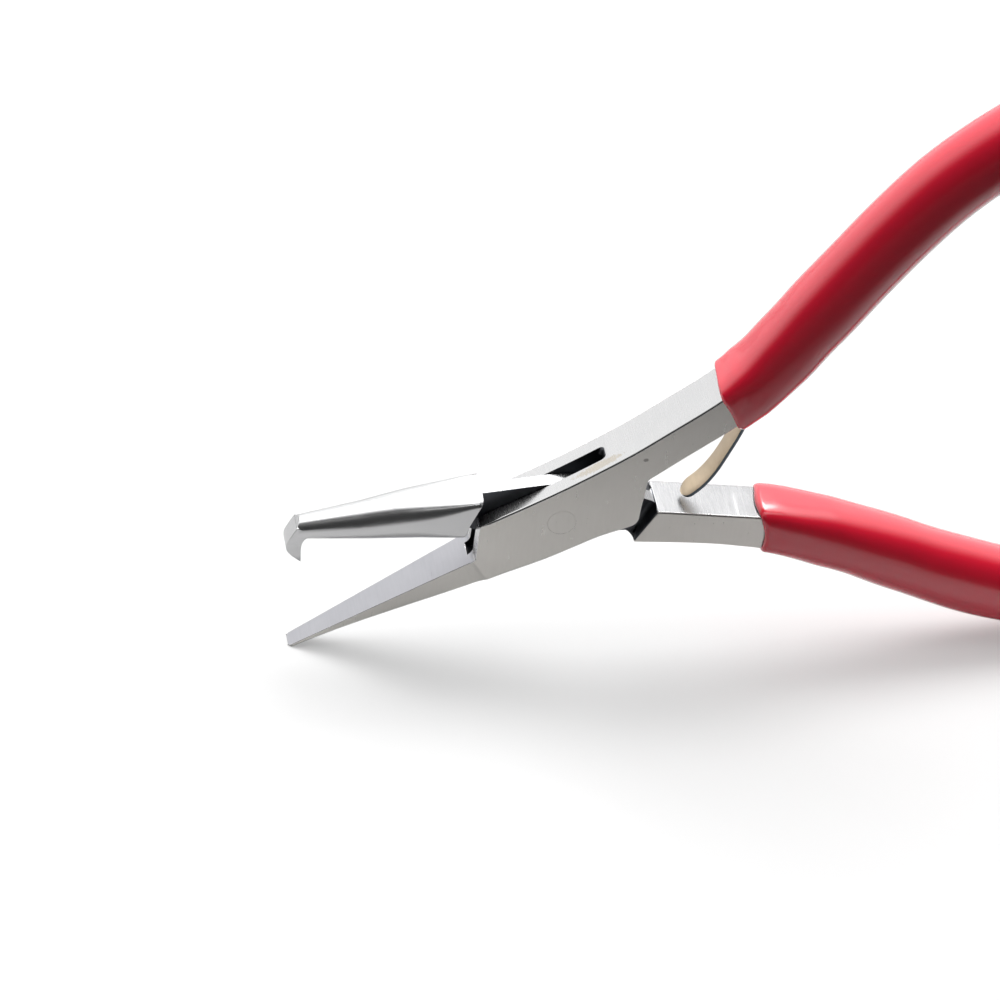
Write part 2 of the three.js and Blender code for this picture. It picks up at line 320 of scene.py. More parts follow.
def remap(nt, value, lo, hi, a, b):
    r = nt.nodes.new("ShaderNodeMapRange")
    r.inputs["From Min"].default_value = lo
    r.inputs["From Max"].default_value = hi
    r.inputs["To Min"].default_value = a
    r.inputs["To Max"].default_value = b
    nt.links.new(value, r.inputs["Value"])
    return r.outputs["Result"]


def mix(nt, factor, a, b):
    m = nt.nodes.new("ShaderNodeMix")
    m.data_type = "RGBA"
    for socket, v in ((m.inputs["Factor"], factor), (m.inputs["A"], a), (m.inputs["B"], b)):
        if hasattr(v, "links"):
            nt.links.new(v, socket)
        elif isinstance(v, tuple):
            socket.default_value = (*v, 1.0)
        else:
            socket.default_value = v
    return m.outputs["Result"]


def bump(nt, bsdf, height, strength, distance):
    b = nt.nodes.new("ShaderNodeBump")
    b.inputs["Strength"].default_value = strength
    b.inputs["Distance"].default_value = distance
    nt.links.new(height, b.inputs["Height"])
    nt.links.new(b.outputs[0], bsdf.inputs["Normal"])
    return b


def add(nt, a, b, operation="ADD"):
    m = nt.nodes.new("ShaderNodeMath")
    m.operation = operation
    for socket, v in ((m.inputs[0], a), (m.inputs[1], b)):
        if hasattr(v, "links"):
            nt.links.new(v, socket)
        else:
            socket.default_value = v
    return m.outputs[0]


def spot(nt, a, b, radius):
    """1 inside a long rounded patch from a to b of the drawing frame (mm), 0 outside it."""
    u, v = place(*a), place(*b)
    mid, run = (u + v) / 2, v - u
    tc = nt.nodes.new("ShaderNodeTexCoord")
    off = nt.nodes.new("ShaderNodeVectorMath")
    off.operation = "SUBTRACT"
    nt.links.new(tc.outputs["Object"], off.inputs[0])
    off.inputs[1].default_value = tuple(mid)
    spin = nt.nodes.new("ShaderNodeMapping")
    spin.inputs["Rotation"].default_value = (0, math.atan2(run.z, run.x), 0)
    nt.links.new(off.outputs[0], spin.inputs["Vector"])
    size = nt.nodes.new("ShaderNodeVectorMath")
    size.operation = "MULTIPLY"
    nt.links.new(spin.outputs[0], size.inputs[0])
    r = radius / 1000
    size.inputs[1].default_value = (1 / (run.length / 2 + r), 1 / r, 1 / r)
    far = nt.nodes.new("ShaderNodeVectorMath")
    far.operation = "LENGTH"
    nt.links.new(size.outputs[0], far.inputs[0])
    ragged = add(nt, far.outputs["Value"], remap(nt, noise(nt, (2600, 2600, 2600), seed=4.0), 0.3, 0.7, -0.25, 0.25))
    return remap(nt, ragged, 0.75, 1.05, 1.0, 0.0)


def steel(name, light, dark, rough, grain, depth, spread=0.06, cloud=(220, 220, 220), stain=None):
    """Ground steel: grain is the noise's scale per metre, small along the grinding lines."""
    m, nt, bsdf = material(name)
    bsdf.inputs["Metallic"].default_value = 1.0
    lines = noise(nt, grain, detail=4.0, roughness=0.6)
    soft = noise(nt, cloud, detail=3.0, seed=3.1)
    tone = add(nt, remap(nt, lines, 0.3, 0.7, 0.0, 0.55), remap(nt, soft, 0.3, 0.7, 0.0, 0.45))
    color = mix(nt, tone, dark, light)
    if stain:
        a, b, radius, tint = stain
        color = mix(nt, add(nt, spot(nt, a, b, radius), 0.75, "MULTIPLY"), color, tint)
    nt.links.new(color, bsdf.inputs["Base Color"])
    nt.links.new(remap(nt, lines, 0.25, 0.75, rough - spread, rough + spread), bsdf.inputs["Roughness"])
    bump(nt, bsdf, lines, depth, 0.00002)
    return m


satin = steel("cheek_satin_steel", (0.67, 0.65, 0.62), (0.63, 0.61, 0.58), 0.30, (2600, 400, 330), 0.003, 0.035,
              stain=((10.72, -3.6, 10.37), (10.86, -3.6, 10.37), 0.33, (0.20, 0.19, 0.18)))
crossed = steel("cross_ground_steel", (0.60, 0.60, 0.60), (0.565, 0.565, 0.57), 0.27, (3000, 240, 3000), 0.005, 0.015,
                stain=((1.6, -2.4, 6.6), (7.1, -2.1, 10.1), 0.8, (0.49, 0.445, 0.375)))
gripping = steel("gripping_face_steel", (0.43, 0.43, 0.455), (0.38, 0.38, 0.405), 0.32, (3000, 200, 3000), 0.05, 0.05)
# a darker copy of the cross-ground steel: painted shade on the tongue half's tops, neck and lower arm, the same metal
# as the box's tops
crossed_painted_shade = steel("cross_ground_arm_steel_painted_shade", (0.37, 0.37, 0.375), (0.31, 0.31, 0.315), 0.27, (3000, 240, 3000), 0.005, 0.015)
polished = steel("jaw_polished_steel", (0.66, 0.66, 0.665), (0.62, 0.62, 0.625), 0.25, (500, 2400, 2400), 0.01, 0.02)
bright_edge = steel("bright_edge_steel", (0.62, 0.62, 0.62), (0.55, 0.55, 0.55), 0.20, (1500, 600, 1500), 0.05, 0.04)
black = steel("joint_black_steel", (0.100, 0.104, 0.114), (0.082, 0.085, 0.093), 0.38, (1400, 600, 1400), 0.01, 0.03)


def spring_material():
    m, nt, bsdf = material("spring_steel_tan")
    bsdf.inputs["Metallic"].default_value = 1.0
    lines = noise(nt, (2200, 300, 500), detail=4.0)
    soft = noise(nt, (260, 260, 260), detail=3.0, seed=1.3)
    tone = add(nt, remap(nt, lines, 0.3, 0.7, 0.0, 0.4), remap(nt, soft, 0.3, 0.7, 0.0, 0.6))
    nt.links.new(mix(nt, tone, (0.50, 0.40, 0.28), (0.66, 0.54, 0.40)), bsdf.inputs["Base Color"])
    nt.links.new(remap(nt, lines, 0.25, 0.75, 0.30, 0.42), bsdf.inputs["Roughness"])
    bump(nt, bsdf, lines, 0.12, 0.00002)
    return m


def slate_material():
    m, nt, bsdf = material("spring_edge_slate")
    bsdf.inputs["Metallic"].default_value = 1.0
    soft = noise(nt, (900, 900, 900), detail=3.0)
    nt.links.new(mix(nt, soft, (0.10, 0.12, 0.14), (0.17, 0.20, 0.23)), bsdf.inputs["Base Color"])
    nt.links.new(remap(nt, soft, 0.2, 0.8, 0.30, 0.42), bsdf.inputs["Roughness"])
    return m


def vinyl_material(name, deep, light, rough):
    m, nt, bsdf = material(name)
    bsdf.inputs["Specular IOR Level"].default_value = 0.62
    bsdf.inputs["Coat Weight"].default_value = 1.0
    bsdf.inputs["Coat Roughness"].default_value = 0.03
    bsdf.inputs["Subsurface Weight"].default_value = 0.12
    bsdf.inputs["Subsurface Radius"].default_value = (1.0, 0.12, 0.10)
    bsdf.inputs["Subsurface Scale"].default_value = 0.0009
    cloud = noise(nt, (70, 70, 70), detail=2.0, seed=0.7)
    nt.links.new(mix(nt, cloud, deep, light), bsdf.inputs["Base Color"])
    bsdf.inputs["Roughness"].default_value = rough
    waves = noise(nt, (110, 110, 110), detail=1.0, seed=5.0)
    bump(nt, bsdf, waves, 0.10, 0.00012)
    return m


tan_spring = spring_material()
slate = slate_material()
vinyl = vinyl_material("grip_vinyl_raspberry", (0.68, 0.005, 0.029), (0.75, 0.007, 0.037), 0.24)
vinyl_lip = vinyl_material("grip_vinyl_lip", (0.24, 0.060, 0.085), (0.30, 0.090, 0.115), 0.24)

# ---- lines of the two handles ----------------------------------------------
UPPER = Path(
    [
        (14.0, 12.2), (21.3, 18.2), (26.3, 23.8), (31.6, 32.2), (36.6, 40.2), (41.4, 47.6),
        (46.6, 54.5), (52.8, 60.6), (60.2, 66.4), (68.0, 71.4),
    ],
    soften=30,
)
LOWER = Path(
    [
        (14.6, -1.55), (21.0, -1.95), (28.2, -2.45), (32.2, -3.0), (37.9, -4.6), (43.9, -6.5), (50.2, -8.9),
        (56.6, -11.35), (63.9, -13.8), (71.3, -15.55), (79.9, -16.9), (89.3, -17.6), (97.5, -17.3),
    ],
    soften=30,
)
UPPER_DIP = 0.11 * UPPER.length
LOWER_DIP = 0.168 * LOWER.length


def tang_half(t):
    return ramp(t, [(0, 2.65), (0.15, 2.65), (0.3, 3.3), (0.5, 3.7), (0.85, 3.6), (1, 3.0)])


UPPER_HALF = [(0, 4.15), (0.07, 4.5), (0.18, 4.9), (0.3, 5.15), (0.75, 5.3), (0.93, 5.1), (1, 4.3)]
LOWER_HALF = [(0, 3.85), (0.05, 4.05), (0.16, 4.65), (0.34, 5.2), (0.5, 5.55), (0.66, 5.45), (0.8, 5.28), (0.93, 5.1), (1, 4.3)]


def tang_sides(path, start, step=0.8):
    """The tang's two sides and its rounded end, from start to the end of the path."""
    up, down = [], []
    for p in np.linspace(start, path.length, int((path.length - start) / step)):
        c, n, h = path.at(p), path.across(p), tang_half(p / path.length)
        up.append(tuple(c + n * h))
        down.append(tuple(c - n * h))
    c, n, d, h = path.at(path.length), path.across(path.length), path.along(path.length), tang_half(1.0)
    end = [
        tuple(c + d * 2.0 * math.cos(a) + n * h * math.sin(a))
        for a in [math.pi / 2 - k * math.pi / 10 for k in range(1, 10)]
    ]
    return up, end, down[::-1]


def fillet(corner, a, b, radius, n=6):
    """Points of a round of that radius at corner, between the directions to a and to b."""
    c = np.array(corner, float)
    u = np.array(a, float) - c
    v = np.array(b, float) - c
    u, v = u / np.linalg.norm(u), v / np.linalg.norm(v)
    half = math.acos(max(-1, min(1, float(u @ v)))) / 2
    t = radius / math.tan(half)
    centre = c + (u + v) / np.linalg.norm(u + v) * radius / math.sin(half)
    p, q = c + u * t - centre, c + v * t - centre
    a0, a1 = math.atan2(p[1], p[0]), math.atan2(q[1], q[0])
    d = (a1 - a0 + math.pi) % (2 * math.pi) - math.pi
    return [
        (centre[0] + radius * math.cos(a0 + d * k / n), centre[1] + radius * math.sin(a0 + d * k / n))
        for k in range(n + 1)
    ]


# ---- box half ---------------------------------------------------------------
def build_box_half():
    up, end, down = tang_sides(UPPER, UPPER_DIP + 0.6)
    top = Path(
        [
            (-10.45, -1.15), (-3.19, 3.16), (0.78, 5.68), (4.73, 8.36), (9.51, 11.8), (12.17, 14.05),
            (16.0, 17.2), up[0], up[3],
        ],
        soften=60,
    )
    under = Path([down[-4], down[-1], (21.03, 14.6), (16.47, 10.85), (12.75, 7.7)], soften=40)
    bottom = Path([(8.3, -2.25), (6.0, -3.25), (3.5, -4.65), (-1.02, -7.2), face_point(11.63, 4.18)], soften=20)
    belly = Path(
        [face_point(11.63, 4.18), face_point(16.6, 3.5), face_point(19.03, 3.2), face_point(26.33, 2.16),
         face_point(31.5, 1.46), face_point(35.4, 1.0), face_point(39.3, 0.66), face_point(42.75, 0.42)],
        soften=60,
    )
    corner = (-11.02, face_point(13.43)[1])
    outline = [face_point(43.0), *fillet(corner, face_point(20), (-11.0, -2.5), 1.5, 8), (-11.05, -2.6)]
    outline += fillet((-11.0, -1.45), (-11.05, -2.6), (-3.2, 3.1), 0.55, 5)
    outline += eased([tuple(p) for p in top.points(0.7)[1:-1]] + up[3:]) + end
    outline += eased(down[:-3] + [tuple(p) for p in under.points(0.7)[1:-1]])
    outline += fillet((11.62, 6.75), (12.9, 7.85), (11.35, 2.0), 1.1, 6)
    outline += [(11.45, 3.6), (11.36, 2.0)]
    outline += fillet((11.3, -0.95), (11.33, 2.0), (7.63, -2.55), 1.7, 8)
    outline += [tuple(p) for p in bottom.points(0.8)[0:-1]]
    outline += [tuple(p) for p in belly.points(0.9)]
    body = prism("box_half_finished", outline, -HALF_T, HALF_T)

    # plan of the flat jaw, square to its gripping face
    plan = [(44.5, 1.1), (42.95, 1.12), (42.6, 1.38), (30.0, 2.20), (20.0, 2.855), (15.4, 3.16),
            (14.75, 3.22), (14.2, 3.32), (13.8, 3.44), (13.35, 3.6), (13.0, 3.9), (-140, 3.9)]
    ring = [(s, w) for s, w in plan] + [(s, -w) for s, w in reversed(plan)]
    n = len(ring)

    def at(s, w, k):
        x, z = face_point(s, k)
        return (x, w, z)

    cutter = make(
        "cutter",
        [at(s, w, -130) for s, w in ring] + [at(s, w, 130) for s, w in ring],
        [list(range(n)), list(range(2 * n - 1, n - 1, -1))]
        + [[i, n + i, n + (i + 1) % n, (i + 1) % n] for i in range(n)],
    )
    boolean(body, cutter, "INTERSECT")
    slot = [
        face_point(14.25, -0.3), *fillet(face_point(14.25, 0.42), face_point(14.25, -0.3), (-5.1, -9.8), 0.3, 5),
        (-5.1, -9.8), (-4.4, -13), (18, -13), (18, 4), (12.6, 7.1), (5.80, 7.6), (-18, 7.6), (-18, -5.5),
    ]
    boolean(body, prism("cutter", slot, -SLOT, SLOT), "DIFFERENCE")
    end_x, r = 5.78, 0.62
    plan = [(-18, -SLOT)]
    plan += [(end_x - r + r * math.sin(a), -SLOT + r - r * math.cos(a)) for a in np.linspace(0, math.pi / 2, 7)]
    plan += [(end_x - r + r * math.cos(a), SLOT - r + r * math.sin(a)) for a in np.linspace(0, math.pi / 2, 7)]
    plan += [(-18, SLOT)]
    n = len(plan)
    shaft = make(
        "cutter",
        [(x, y, 5.0) for x, y in plan] + [(x, y, 16.0) for x, y in plan],
        [list(range(n)), list(range(2 * n - 1, n - 1, -1))]
        + [[i, n + i, n + (i + 1) % n, (i + 1) % n] for i in range(n)],
    )
    boolean(body, shaft, "DIFFERENCE")
    bore = [(PIVOT[0] + 2.004 * math.cos(a), PIVOT[1] + 2.004 * math.sin(a)) for a in np.linspace(0, 2 * math.pi, 65)[:-1]]
    tidy(body)
    drill(body, bore)

    tip = np.array(face_point(43.0))

    def rule(mid, convex, normals):
        x, y, z = mid
        if math.hypot(x - PIVOT[0], z - PIVOT[1]) < 2.3:
            return 0.0
        inner = abs(abs(y) - SLOT) < 0.05
        if math.hypot(x - tip[0], z - tip[1]) < 2.2:
            return 0.07
        s = -x * math.cos(FACE) - z * math.sin(FACE)
        if inner:
            return 0.05
        if abs(y) < HALF_T - 0.06 and s < 12:
            return 0.0
        if s > 13.2:
            return 0.09 if max(n[2] for n in normals) > 0.35 else 0.16
        if x < -9.9 and z > -2.6:
            return 0.07
        if abs(abs(y) - HALF_T) < 0.06:
            above = max(n[2] for n in normals) > 0.35
            below = min(n[2] for n in normals) < -0.35
            return 0.27 if above else 0.22 if below and (-8.0 < x < 8.0 or x > 14.5) else 0.1
        return 0.08

    weigh(body, rule)

    def pick(c, n, wide):
        if wide < SLOT + 0.02 and c[0] < 11.4:
            # walls and floor of the slot are left black, but for its run-out on the gripping face
            s = -c[0] * math.cos(FACE) - c[2] * math.sin(FACE)
            return 3 if s > 13.2 and n[2] > 0.5 else 2
        if abs(n[1]) > 0.7:
            return 0
        s = -c[0] * math.cos(FACE) - c[2] * math.sin(FACE)
        drop = c[0] * math.sin(FACE) - c[2] * math.cos(FACE)
        if s > 12.0 and drop < 0.5 and n[2] > 0.3:
            return 3
        return 1

    settle(body, [satin, crossed, black, gripping, bright_edge], pick, "box_side", edge_slot=4)
    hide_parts("box_half")
    return body


def build_rivet():
    """The joint rivet, ground flush with both cheeks."""
    rings = []
    for y, r in ((-3.595, 1.97), (-3.57, 2.0), (-1.4, 2.0), (1.4, 2.0), (3.57, 2.0), (3.595, 1.97)):
        rings.append(
            [(PIVOT[0] + r * math.cos(a), y, PIVOT[1] + r * math.sin(a)) for a in np.linspace(0, 2 * math.pi, 65)[:-1]]
        )
    rivet = loft("joint_rivet_flush", rings)
    settle(rivet, [satin], lambda c, n, wide: 0, "box_side", bevel=False)
    rivet.data.set_sharp_from_angle(angle=math.radians(35))
    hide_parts("joint_rivet")
    return rivet


# ---- tongue half ------------------------------------------------------------
AXIS = np.array([math.cos(math.atan(0.157)), math.sin(math.atan(0.157))])
TIP = np.array([-35.6, -4.15])


def rounded_rect(w, h, top, bottom, n=12):
    """Closed ring (y, v) of a rectangle 2w by 2h with upper and lower corners of those radii, 4n points."""
    pts = []
    for q in range(4):
        r = min(top if q in (0, 1) else bottom, w - 1e-4, h - 1e-4)
        cy = (w - r) * (1 if q in (0, 3) else -1)
        cv = (h - r) * (1 if q in (0, 1) else -1)
        for k in range(n):
            a = math.pi / 2 * (q + (k + 0.0) / (n - 1))
            pts.append((cy + r * math.cos(a), cv + r * math.sin(a)))
    return pts


def build_tongue_half():
    up, end, down = tang_sides(LOWER, LOWER_DIP - 5.0)
    # the round jaw: a cone that squares itself towards the joint
    width = [(-4, 1.22), (0, 1.66), (13.6, 3.09), (16.0, 3.34), (18.5, 3.52), (21.0, 3.59), (24, 3.6), (27, 3.6)]
    height = [(-4, 1.22), (0, 1.66), (13.6, 3.09), (16.5, 3.16), (20, 3.1), (24, 3.0), (27, 3.0)]
    over = [(-4, 1.3), (8.5, 2.6), (13.6, 2.62), (17.0, 2.35), (19.4, 2.0), (21.5, 1.5), (23.5, 1.0), (25, 0.8), (27, 0.7)]
    below = [(-4, 1.2), (0, 1.52), (2, 1.66), (5, 1.8), (9.5, 2.13), (13.6, 2.6), (16.2, 2.5), (18.5, 1.95), (21, 1.2),
             (23, 0.5), (24, 0.35), (27, 0.3)]
    rings = []
    for d in np.concatenate([np.linspace(-3.2, 9, 16), np.linspace(9.6, 27, 40)]):
        c = TIP + AXIS * d
        w, h = straight(d, width), straight(d, height)
        # eased through the change from cone to block
        w = sum(straight(d + o, width) for o in (-1.5, -0.75, 0, 0.75, 1.5)) / 5
        h = sum(straight(d + o, height) for o in (-1.5, -0.75, 0, 0.75, 1.5)) / 5
        r = min(w, h) if d < 8.5 else sum(straight(d + o, over) for o in (-1.0, 0, 1.0)) / 3
        r2 = sum(straight(d + o, below) for o in (-1.0, 0, 1.0)) / 3
        ring = []
        for y, v in rounded_rect(w, h, r, r2):
            ring.append((c[0] - AXIS[1] * v, y, c[1] + AXIS[0] * v))
        rings.append(ring)
    jaw = loft("tongue_half_finished", rings)
    # hook under the tip
    hook_side = [
        (-39.5, -2.0), (-39.5, -10.6), (-34.8, -10.4), (-34.9, -9.6), (-35.04, -8.6), (-35.2, -7.4), (-35.25, -6.7),
        (-35.22, -6.2), (-35.1, -5.7), (-34.88, -5.3), (-34.5, -5.0), (-34.0, -4.85), (-33.4, -4.75), (-33.3, -4.2),
        (-35.2, -3.6),
    ]
    hook = prism("hook", hook_side, -1.62, 1.62)
    wedge_plan = [(-1.62, -1.0), (-1.62, -6.2), (-1.42, -7.3), (-1.0, -8.6), (-0.16, -10.6), (0.16, -10.6),
                  (1.0, -8.6), (1.42, -7.3), (1.62, -6.2), (1.62, -1.0)]
    wn = len(wedge_plan)
    wedge = make(
        "wedge",
        [(-42, y, z) for y, z in wedge_plan] + [(-30, y, z) for y, z in wedge_plan],
        [list(range(wn)), list(range(2 * wn - 1, wn - 1, -1))]
        + [[i, wn + i, wn + (i + 1) % wn, (i + 1) % wn] for i in range(wn)],
    )
    boolean(hook, wedge, "INTERSECT")
    boolean(jaw, hook, "UNION")
    outer = Path(
        [(-34.9, -1.2), (-35.75, -2.55), (-36.2, -3.35), (-36.95, -4.9), (-37.38, -6.2), (-37.2, -7.4), (-36.25, -8.75), (-34.86, -10.12)],
        soften=6,
    )
    trim = [tuple(p) for p in outer.points(0.35)]
    trim += [(-34.2, -10.5), (-30, -10.5), (-13.6, -6), (-13.25, -3.75), (-12.78, -3.1), (-12.4, -1.3), (-10.9, 2.75), (-10.7, 3.4), (-30, 3.4)]
    boolean(jaw, prism("cutter", trim, -6, 6), "INTERSECT")

    # tongue, neck and lower arm
    plate_top = Path([(-13.2, 2.30), (-10.2, 2.70), (-6.0, 3.42), (-1.2, 4.18), (2.0, 4.38), (5.0, 4.0), (8.0, 3.2), (11.0, 2.15), (13.0, 1.40), (14.2, 1.05)])
    plate_bottom = Path([(13.0, -3.8), (9.0, -4.02), (6.0, -4.35), (1.0, -5.2), (-4.0, -5.35), (-9.0, -4.6), (-12.4, -3.3), (-13.1, -2.9)])
    plate = [tuple(p) for p in plate_top.points(0.8)] + [(15.5, 0.5), (15.5, -3.4)]
    plate += [tuple(p) for p in plate_bottom.points(0.8)]
    arm_top = Path([(13.76, 1.18), (18.0, 0.92), (23.0, 0.57), (27.0, 0.28), up[0], up[3]], soften=40)
    arm_bottom = Path([down[-4], down[-1], (25.7, -4.78), (18.76, -4.34), (11.35, -4.2)], soften=40)
    arm = eased([tuple(p) for p in arm_top.points(0.8)[:-1]] + up[3:]) + end
    arm += eased(down[:-3] + [tuple(p) for p in arm_bottom.points(0.8)[1:]]) + [(10.98, -4.02)]
    boolean(jaw, prism("plate", plate, -PLATE, PLATE), "UNION")
    boolean(jaw, prism("arm", arm, -HALF_T, HALF_T), "UNION")
    bore = [(PIVOT[0] + 2.05 * math.cos(a), PIVOT[1] + 2.05 * math.sin(a)) for a in np.linspace(0, 2 * math.pi, 49)[:-1]]
    boolean(jaw, prism("cutter", bore, -6, 6), "DIFFERENCE")
    tidy(jaw)

    def rule(mid, convex, normals):
        x, y, z = mid
        if math.hypot(x - PIVOT[0], z - PIVOT[1]) < 2.4:
            return 0.0
        if x < -33.0:
            if not convex:
                return 0.0
            return 0.09 if z > -9.2 else 0.03
        if abs(abs(y) - PLATE) < 0.04:
            if x > 11.0 and not convex and z < 1.15 and abs(y) < PLATE + 0.03:
                return 0.7  # the neck runs out into the shoulder
            if not convex:
                return 0.25
            return 0.06
        if x < -10.5:
            return 0.13 if convex and abs(y) > PLATE + 0.1 else 0.0
        if x > 10:
            if abs(abs(y) - HALF_T) < 0.05:
                above = max(n[2] for n in normals) > 0.35
                below = min(n[2] for n in normals) < -0.35
                return 0.28 if above else 0.26 if below else 0.2
            if x < 14.2:
                return 0.3 if convex else 0.2
        return 0.06

    weigh(jaw, rule, least=28)

    def pick(c, n, wide):
        x, y, z = c
        if -13.0 < x < 13.9 and abs(abs(y) - PLATE) < 0.03 and abs(n[1]) > 0.7:
            return 2
        if -13.4 < x < -10.6 and n[0] > 0.5:
            return 2  # left shoulder
        # right shoulder: its near half is painted black as shade, its far half takes the arm steel
        if 10.7 < x < 13.9 and n[0] < -0.5:
            return 2 if y < 0.3 else 1  # right shoulder
        if x > 10.5:
            return 0 if abs(n[1]) > 0.7 else 1
        if x > -11.5:
            return 1
        return 3

    settle(jaw, [satin, crossed_painted_shade, black, polished, bright_edge], pick, "tongue_side", edge_slot=-1)
    # the far shoulder and the neck's far side take the arm steel, while the near ones stay black as painted shade,
    # though both sides are the same metal
    for p in jaw.data.polygons:
        c = p.center * 1000
        dx, dz = c.x - SHIFT_X, c.z - SHIFT_Z
        x, z = dx * CT - dz * ST, dx * ST + dz * CT
        if 10.9 < x < 14.2 and c.y > 0.3 and z > -3.4 and abs(p.normal.y) < 0.97:
            p.material_index = 1
    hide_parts("tongue_half")
    return jaw


# ---- leaf spring ------------------------------------------------------------
def build_leaf():
    """One strip: its foot lies under the tang, it bends at the grip's mouth and its round toe rests on the lower arm."""
    foot = []
    for p in np.linspace(UPPER_DIP + 16.0, UPPER_DIP + 3.4, 9):
        c = UPPER.at(p) - UPPER.across(p) * (tang_half(p / UPPER.length) + 0.33)
        foot.append(tuple(c))
    line = Path([*foot, (25.15, 17.0), (24.62, 15.9), (24.15, 14.0), (22.9, 10.2), (21.6, 6.9), (20.2, 4.5), (18.5, 2.6), (17.72, 1.78)], soften=8)
    total = line.length
    rings = []
    stations = list(np.linspace(0, total - 3.4, 74)) + [total - 1.8 + 1.8 * math.sin(a) - 0.001 * 0 for a in np.linspace(-math.pi / 2 * 0.88, math.pi / 2 * 0.975, 26)]
    stations = sorted(stations)
    e = 0.07
    for s in stations:
        w = LEAF_W
        over = s - (total - LEAF_W)
        if over > 0:
            w = math.sqrt(max(LEAF_W * LEAF_W - over * over, 0.004))
        lead = min(1.0, 0.25 + s / 1.5)
        w *= lead
        # a slight waist between the bend and the toe
        w *= 1 - 0.05 * math.exp(-(((s - total + 9.0) / 3.5) ** 2))
        h = LEAF_T / 2
        b = min(e, w * 0.45)
        c, n = line.at(s), line.across(s)
        ring = []
        for y, v in (
            (w - b, h), (w - b * 0.3, h - e * 0.3), (w, h - e), (w, -h + e), (w - b * 0.3, -h + e * 0.3), (w - b, -h),
            (-w + b, -h), (-w + b * 0.3, -h + e * 0.3), (-w, -h + e), (-w, h - e), (-w + b * 0.3, h - e * 0.3), (-w + b, h),
        ):
            ring.append((c[0] + n[0] * v, y, c[1] + n[1] * v))
        rings.append(ring)
    leaf = loft("leaf_spring_strip", rings)
    for m in (tan_spring, slate):
        leaf.data.materials.append(m)
    n = 12
    for p in leaf.data.polygons:
        p.use_smooth = True
        j = p.index % n
        p.material_index = 1 if p.index < (len(rings) - 1) * n and j in (1, 2, 3, 7, 8, 9) else 0
    leaf.data.set_sharp_from_angle(angle=math.radians(38))
    for v in leaf.data.vertices:
        v.co = place(*v.co)
    leaf.data.update()
    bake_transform(leaf)
    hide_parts("spring_foot", "spring_blade")
    return leaf


# ---- dipped grips -----------------------------------------------------------
COLUMNS = 96


def squircle(w, h, n, phi):
    c, s = abs(math.cos(phi)), abs(math.sin(phi))
    return ((c / w) ** n + (s / h) ** n) ** (-1.0 / n)


def smoothstep(t):
    t = max(0.0, min(1.0, t))
    return t * t * (3 - 2 * t)


